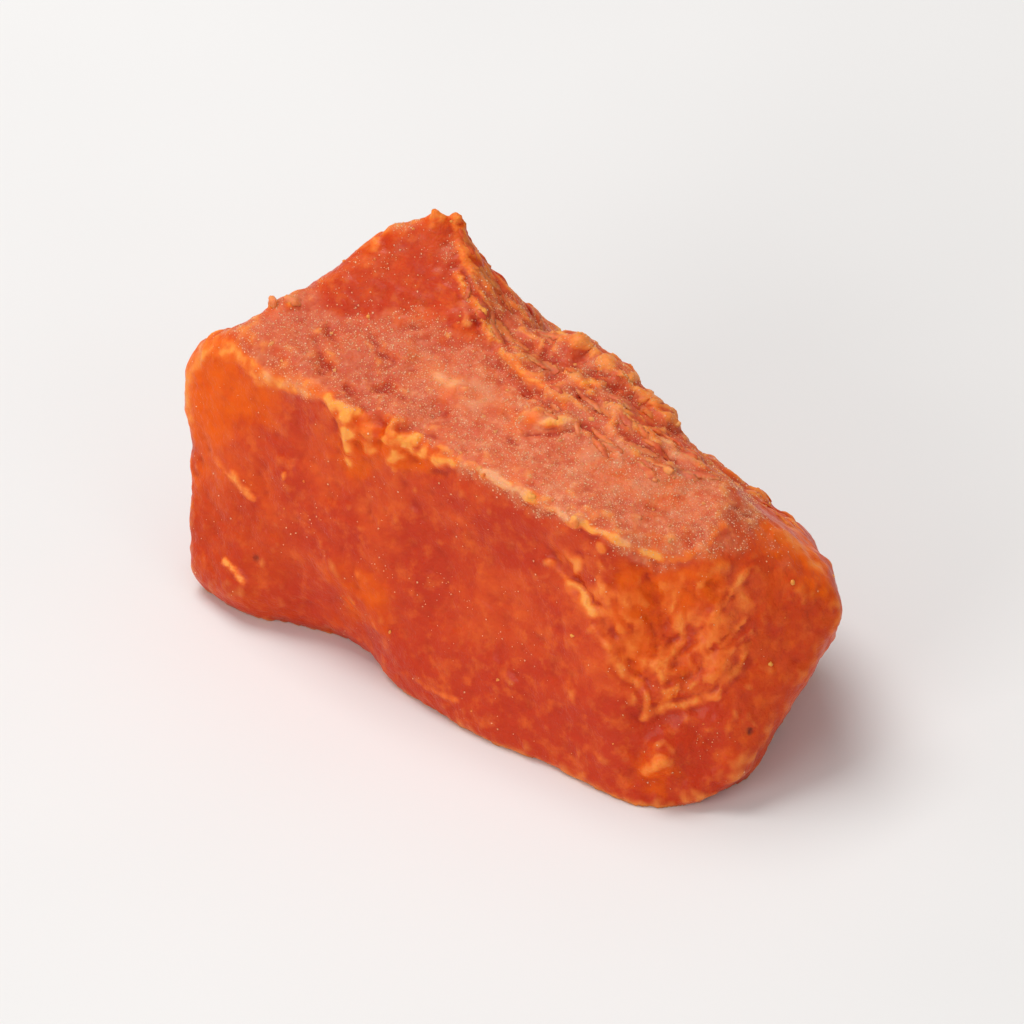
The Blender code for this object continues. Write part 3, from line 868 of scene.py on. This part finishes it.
def skin_material():
    """Flesh from deep red to light orange, with what the masks paint on it, painted highlight and
    shade among it.
    """
    n = Nodes("papaya skin", FLESH_DEEP)
    mottle = n.noise(2.6, detail=5, roughness=0.6, distortion=0.5)
    fine = n.noise(0.75, detail=4, roughness=0.6)
    rim = n.mask("rim")
    mottled = n.ranged(mottle, 0.36, 0.64)
    # Low on the chunk the flesh stays deeper red: painted shade towards the floor.
    tone = n.product(mottled, n.ranged(n.mask("height"), 0.2, 1, 0.1, 1))
    n.cover(tone, FLESH)
    n.cover(n.ranged(fine, 0.46, 0.78, 0, 0.6), FLESH_LIGHT)
    n.cover(n.ranged(fine, 0.5, 0.28, 0, 0.35), FLESH_DEEP)
    frost = n.mask("frost")
    # Painted light: outstanding edges shine amber as if lit through, less low down and under sugar.
    painted_glow = n.product(n.ranged(n.mask("edge"), 0.2, 0.9, 0, 0.6), n.mask("height"))
    painted_glow = n.product(painted_glow, n.ranged(frost, 0.1, 0.7, 1, 0.35))
    # Amber: partly the flesh's own orange patches, partly painted light on lumps, the right
    # shoulder and edges.
    amber = n.math("MAXIMUM", n.mask("amber"), painted_glow)
    amber = n.product(amber, n.ranged(fine, 0.2, 0.55, 0.55, 1))
    n.cover(amber, AMBER)
    granules = n.noise(0.3, detail=3, roughness=0.65)
    haze = n.product(frost, n.ranged(granules, 0.3, 0.66, 0.6, 1))
    n.cover(haze, FROST)
    glints = n.product(frost, n.ranged(granules, 0.52, 0.74, 0, 0.5))
    n.cover(glints, SUGAR)
    # Painted shade in dark red in crevices, weaker where the flesh is amber.
    crevice_shade = n.ranged(rim, -0.05, -0.9, 0, 0.6)
    crevice_shade = n.product(crevice_shade, n.ranged(amber, 0.1, 0.9, 1, 0.3))
    n.cover(crevice_shade, SHADE_RED)
    # Painted highlight on convex edges.
    n.cover(n.ranged(rim, 0.2, 1, 0, 0.5), PALE)
    # Painted shade in dark red from the marks: sunk lines, feet of torn layers, fold hollows, sugar
    # pits.
    n.cover(n.product(n.mask("painted_shade"), 0.7), SHADE_RED)
    # Pale from the marks: partly the flesh's pale streaks, partly painted highlight on lips, ridges
    # and folds.
    pale = n.product(n.mask("pale"), n.ranged(fine, 0.3, 0.58, 0.55, 1.1))
    sugary = n.ranged(frost, 0.35, 0.9)
    lightened = n.mixed(sugary, FLESH_LIGHT, FROST)
    n.cover(n.ranged(pale, 0.02, 0.35, 0, 0.85), lightened)
    sugared = n.mixed(sugary, PALE, SUGAR)
    n.cover(n.ranged(pale, 0.25, 0.85, 0, 0.9), sugared)
    n.cover(n.mask("speck"), SPECK)
    roughness = n.ranged(n.noise(0.8, detail=4), 0.35, 0.65, 0.32, 0.52)
    n.shade("Roughness", n.math("MAXIMUM", roughness, n.product(frost, 0.6)))
    coarse = n.bump(n.noise(0.4, detail=3, roughness=0.6), 1, 0.12)
    n.shade("Normal", n.bump(n.noise(0.11, detail=2), 1, 0.02, coarse))
    translucent(n, 0.6, 0.13)
    dull = n.math("MAXIMUM", frost, amber)
    n.shade("Coat Weight", n.ranged(dull, 0, 0.6, 0.16, 0))
    n.shade("Coat Roughness", 0.2)
    return n.material


def translucent(n, depth, gloss=0.3, weight=0.4, spread=FLESH_SCATTER):
    """Light goes a little way in."""
    n.shade("Subsurface Weight", weight)
    n.shade("Subsurface Radius", spread)
    n.shade("Subsurface Scale", depth * MM)
    n.shade("Specular IOR Level", gloss)


def strip_material():
    """Thin flesh with a painted highlight towards its ragged edges."""
    n = Nodes("torn flesh", FLESH_DEEP)
    tone = n.noise(0.9, detail=4, roughness=0.65)
    fine = n.noise(0.45, detail=3)
    n.cover(n.ranged(tone, 0.32, 0.5), FLESH)
    n.cover(n.ranged(tone, 0.42, 0.62, 0, 0.95), FLESH_LIGHT)
    n.cover(n.product(n.mask("frost"), 0.45), FROST)
    # Painted highlight along the strip's thin edges, pale or sugared.
    rim = n.product(n.mask("edge"), n.ranged(fine, 0.42, 0.66, 0, 0.45))
    sugared = n.mixed(n.ranged(n.mask("frost"), 0.1, 0.8), PALE, SUGAR)
    n.cover(rim, sugared)
    n.shade("Roughness", n.ranged(n.noise(0.5), 0.3, 0.7, 0.36, 0.6))
    n.shade("Normal", n.bump(n.noise(0.22, detail=3), 1, 0.06))
    translucent(n, 0.5)
    return n.material


def crumb_material():
    n = Nodes("crumbs of flesh", FLESH_LIGHT)
    tone = n.noise(0.7, detail=3, roughness=0.6)
    n.cover(n.ranged(tone, 0.34, 0.66), PALE)
    n.cover(n.product(n.mask("frost"), 0.8), FROST)
    n.shade("Roughness", n.ranged(n.noise(0.5), 0.3, 0.7, 0.4, 0.62))
    n.shade("Normal", n.bump(n.noise(0.2, detail=2), 0.5, 0.03))
    translucent(n, 0.6)
    return n.material


def sugar_material():
    n = Nodes("sugar grains", SUGAR)
    n.cover(n.ranged(n.noise(0.3, detail=2), 0.3, 0.7), SUGAR_CLEAR)
    n.shade("Roughness", n.ranged(n.noise(0.4), 0.3, 0.7, 0.18, 0.45))
    translucent(n, 0.1, 0.5, 0.8, SUGAR_SCATTER)
    return n.material


# ---- flakes, crumbs and sugar ----


def add_piece(name, body, material):
    """A bmesh in millimetres as an object in the scene."""
    bmesh.ops.scale(body, verts=body.verts, vec=(MM, MM, MM))
    mesh = bpy.data.meshes.new(name)
    body.to_mesh(mesh)
    body.free()
    mesh.shade_smooth()
    mesh.materials.append(material)
    return linked(name, mesh)


STRIP_SIDES = 8


def add_strip(body, line, normals, frost, width, thickness, lean, lift, seed):
    """A ragged strip of flesh on a line of points: sharp sides, sunk tips, one end lifted."""
    edge, sugar = (body.verts.layers.float[name] for name in ("edge", "frost"))
    share = np.linspace(0, 1, len(line))
    taper = np.sin(math.pi * share) ** 0.5
    tangents = np.gradient(line, axis=0)
    sides = np.cross(normals, tangents)
    sides /= lengths(sides)[:, None]
    sides = sides * math.cos(lean) + normals * math.sin(lean)
    ups = np.cross(tangents / lengths(tangents)[:, None], sides)
    middles = line + normals * (lift * ramp(share, 0.6, 1) - STRIP_SINK * thickness)[:, None]
    rings = []
    for turn in np.arange(STRIP_SIDES) * 2 * math.pi / STRIP_SIDES:
        across, along = math.cos(turn), math.sin(turn)
        spot = np.stack((share * 4, np.full(len(line), across), np.full(len(line), seed * 1.7)), 1)
        ragged = 1 + STRIP_RAGS * fractal_noise(spot, 0.5, 81)
        ring = middles + sides * (across * width * taper * ragged)[:, None]
        rings.append(ring + ups * (along * thickness * taper)[:, None])
    rings = np.stack(rings, axis=1)
    made = [[body.verts.new(place) for place in ring] for ring in rings[1:-1]]
    for ring in made:
        for turn, vertex in enumerate(ring):
            vertex[edge] = abs(math.cos(turn * 2 * math.pi / STRIP_SIDES))
            vertex[sugar] = frost
    around = [(side, (side + 1) % STRIP_SIDES) for side in range(STRIP_SIDES)]
    for near, far in zip(made, made[1:]):
        for side, after in around:
            body.faces.new((near[side], near[after], far[after], far[side]))
    first, last = body.verts.new(middles[0]), body.verts.new(middles[-1])
    first[sugar] = last[sugar] = frost
    for side, after in around:
        body.faces.new((first, made[0][after], made[0][side]))
        body.faces.new((last, made[-1][side], made[-1][after]))


def add_crumb(body, centre, radius, turn, frost, detail=2):
    """An uneven lump."""
    sugar = body.verts.layers.float["frost"]
    made = bmesh.ops.create_icosphere(
        body, subdivisions=detail, radius=radius,
        matrix=Matrix.Translation(centre) @ turn @ Matrix.Diagonal((1.2, 0.95, 0.75, 1)),
    )
    places = np.array([vertex.co for vertex in made["verts"]])
    swell = 0.45 * fractal_noise(places, radius * 1.1, 71, 2)
    for vertex, share in zip(made["verts"], swell):
        vertex.co += (vertex.co - Vector(centre)) * share
        vertex[sugar] = frost


def any_turn(rng):
    axis = Vector(unit(rng.normal(size=3)))
    return Matrix.Rotation(rng.uniform(0, 2 * math.pi), 4, axis)


STRIPS = 170
STRIP_STEP = 0.08
STRIP_LENGTH = (0.6, 1.9)
STRIP_WIDTH = (0.13, 0.26)
STRIP_THICKNESS = (0.05, 0.1)
STRIP_LEAN = (-0.35, 0.35)
STRIP_LIFT = (-0.08, 0.06)
STRIP_SINK, STRIP_RAGS = 0.3, 0.5


class Ground:
    """Finds the skin under a point, and which way it faces there."""

    def __init__(self, skin, tree):
        self.tree = tree
        self.facing = skin.smoothed(skin.normals(), 10)[skin.faces].mean(axis=1)
        self.frost = skin.paint["frost"][skin.faces].mean(axis=1)

    def under(self, place):
        found, _, face, _ = self.tree.find_nearest(Vector(place))
        return np.array(found), unit(self.facing[face])

    def frost_under(self, place):
        return self.frost[self.tree.find_nearest(Vector(place))[2]]

    def path(self, start, heading, length):
        """Points along the skin from start, and its normals, bridging small hollows."""
        place, normal = self.under(start)
        places, normals = [place], [normal]
        for _ in range(max(6, round(length / STRIP_STEP))):
            heading = unit(heading - normal * (heading @ normal))
            place, normal = self.under(place + heading * STRIP_STEP)
            places.append(place)
            normals.append(normal)
        return evened(np.array(places)), evened(np.array(normals))


def evened(line):
    """A line of points with its small kinks taken out; its ends stay."""
    for _ in range(4):
        line[1:-1] = line[:-2] * 0.25 + line[1:-1] * 0.5 + line[2:] * 0.25
    return line


def make_strips(skin, tree):
    """Fibres and strips of flesh that lie along the tear."""
    rng = np.random.default_rng(11)
    body = bmesh.new()
    for name in ("edge", "frost"):
        body.verts.layers.float.new(name)
    ground = Ground(skin, tree)
    weight = ramp(skin.paint["torn"], 0.4, 0.9) * ramp(skin.points[:, 2], 0.8, 2.0)
    weight *= ramp(skin.normals() @ TO_CAMERA, -1.2, 0.4)
    for seed, (place, _) in enumerate(zip(*skin.scattered(rng, weight, STRIPS))):
        heading = np.array(TEAR_FLOW) + 0.25 * rng.normal(size=3)
        line, normals = ground.path(place, heading, rng.uniform(*STRIP_LENGTH))
        add_strip(
            body, line, normals, ground.frost_under(place), rng.uniform(*STRIP_WIDTH),
            rng.uniform(*STRIP_THICKNESS), rng.uniform(*STRIP_LEAN), rng.uniform(*STRIP_LIFT), seed,
        )
    return add_piece("torn_strips", body, strip_material())


# Crumbs that show: x and y in pixels, radius and how much sugar is on them.
CRUMBS = (
    (345, 464.2, 0.26, 0.7), (350.8, 463.8, 0.28, 0.7), (408.8, 516.2, 0.14, 0.2),
    (423, 522.7, 0.18, 0.2), (436.5, 530.4, 0.2, 0.2), (465, 515, 0.2, 0.6),
)
SCATTERED_CRUMBS = 260
CRUMB_SINK = 0.45
SMALLEST_CRUMB, CRUMB_SPREAD = 0.04, 0.1


def make_crumbs(skin, tree):
    rng = np.random.default_rng(13)
    body = bmesh.new()
    body.verts.layers.float.new("frost")
    ground = Ground(skin, tree)
    for *pixel, radius, frost in CRUMBS:
        place = on_skin(tree, pixel) - TO_CAMERA * radius * CRUMB_SINK
        add_crumb(body, place, radius, any_turn(rng), frost, 3)
    weight = ramp(skin.normals()[:, 2], -0.2, 0.9) * ramp(skin.points[:, 2], 0.5, 1.5)
    weight *= 0.15 + 1.5 * skin.paint["torn"] + 0.7 * skin.paint["frost"]
    for place, normal in zip(*skin.scattered(rng, weight, SCATTERED_CRUMBS)):
        radius = SMALLEST_CRUMB + CRUMB_SPREAD * rng.random() ** 3
        centre = place - normal * radius * CRUMB_SINK
        add_crumb(body, centre, radius, any_turn(rng), ground.frost_under(place))
    return add_piece("crumbs", body, crumb_material())


SUGAR_GRAINS = 12000
SUGAR_SINK = 0.12
SMALLEST_GRAIN, GRAIN_SPREAD = 0.022, 0.035
BOX_CORNERS = np.array(list(itertools.product((-0.5, 0.5), repeat=3)))
BOX_FACES = np.array(
    ((0, 1, 3, 2), (4, 6, 7, 5), (0, 4, 5, 1), (2, 3, 7, 6), (0, 2, 6, 4), (1, 5, 7, 3))
)


def make_sugar(skin):
    """Fine boxy grains of sugar, thick on what looks up and few elsewhere."""
    rng = np.random.default_rng(17)
    drift = ramp(fractal_noise(skin.points, 1.2, 91), -0.7, 0.7)
    stray = 0.012 * ramp(fractal_noise(skin.points, 2.0, 95), 0.0, 0.8)
    weight = (stray + skin.paint["frost"] ** 1.5 * drift) * ramp(skin.points[:, 2], 0.3, 0.8)
    places, normals = skin.scattered(rng, weight, SUGAR_GRAINS)
    edges = (SMALLEST_GRAIN + GRAIN_SPREAD * rng.random(SUGAR_GRAINS) ** 3)[:, None]
    sizes = edges * rng.uniform(0.7, 1.2, (SUGAR_GRAINS, 3))
    turns = np.linalg.qr(rng.normal(size=(SUGAR_GRAINS, 3, 3)))[0]
    turns[:, :, 0] *= np.linalg.det(turns)[:, None]
    centres = places - normals * edges * SUGAR_SINK
    corners = np.einsum("gij,gcj->gci", turns, BOX_CORNERS[None] * sizes[:, None])
    corners = (corners + centres[:, None]).reshape(-1, 3) * MM
    starts = np.arange(SUGAR_GRAINS)[:, None, None] * len(BOX_CORNERS)
    faces = (BOX_FACES[None] + starts).reshape(-1, 4)
    mesh = bpy.data.meshes.new("sugar_grains")
    mesh.from_pydata(corners.tolist(), [], faces.tolist())
    mesh.materials.append(sugar_material())
    return linked("sugar_grains", mesh)


# ---- camera, light, stage ----


def aim(thing, target):
    thing.rotation_euler = (thing.location - Vector(target)).to_track_quat("Z", "Y").to_euler()


def add_camera():
    camera = bpy.data.cameras.new("camera")
    camera.sensor_width = SENSOR
    camera.lens = SENSOR * CAMERA_DISTANCE / (FRAME_PIXELS * PIXEL)
    thing = linked("camera", camera)
    thing.location = CAMERA_PLACE * MM
    aim(thing, photo_point(FRAME_MIDDLE_PIXEL) * MM)
    bpy.context.scene.camera = thing


# Square soft lights: name, place in metres and watts. All aim at the chunk's middle.
LIGHTS = (
    ("key", (-0.14, 0.02, 0.36), 0.96),
    ("fill", (-0.05, -0.38, 0.16), 0.57),
    ("side", (0.36, -0.14, 0.14), 0.14),
)
LIGHT_SIZE = 0.22
LIGHT_TARGET = (0, 0, 0.008)
SKY, SKY_STRENGTH = (1.0, 0.985, 0.97, 1), 0.4
FLOOR_REACH, FLOOR_DROP = 3000, 0.02
FLOOR_DARK, FLOOR_LIGHT = (0.8, 0.79, 0.78, 1), (0.84, 0.83, 0.82, 1)


def add_lights():
    for name, place, watts in LIGHTS:
        light = bpy.data.lights.new(name, "AREA")
        light.shape = "SQUARE"
        light.size = LIGHT_SIZE
        light.energy = watts
        thing = linked(name, light)
        thing.location = place
        aim(thing, LIGHT_TARGET)


def add_floor():
    body = bmesh.new()
    bmesh.ops.create_grid(body, x_segments=8, y_segments=8, size=FLOOR_REACH)
    bmesh.ops.translate(body, verts=body.verts, vec=(0, 0, -FLOOR_DROP))
    n = Nodes("pale floor", FLOOR_DARK)
    n.cover(n.ranged(n.noise(60, detail=3), 0.3, 0.7), FLOOR_LIGHT)
    n.shade("Roughness", 0.8)
    add_piece("floor", body, n.material)


def add_world():
    world = bpy.data.worlds.new("studio")
    world.use_nodes = True
    background = world.node_tree.nodes["Background"]
    background.inputs["Color"].default_value = SKY
    background.inputs["Strength"].default_value = SKY_STRENGTH
    bpy.context.scene.world = world


def main():
    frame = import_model()
    bpy.context.scene.view_settings.view_transform = "Standard"
    add_camera()
    add_world()
    add_floor()
    add_lights()
    piece, skin = make_skin(frame["nodes"][NODE])
    tree = skin.tree()
    for item in (piece, make_strips(skin, tree), make_crumbs(skin, tree), make_sugar(skin)):
        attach(item, "root")


main()
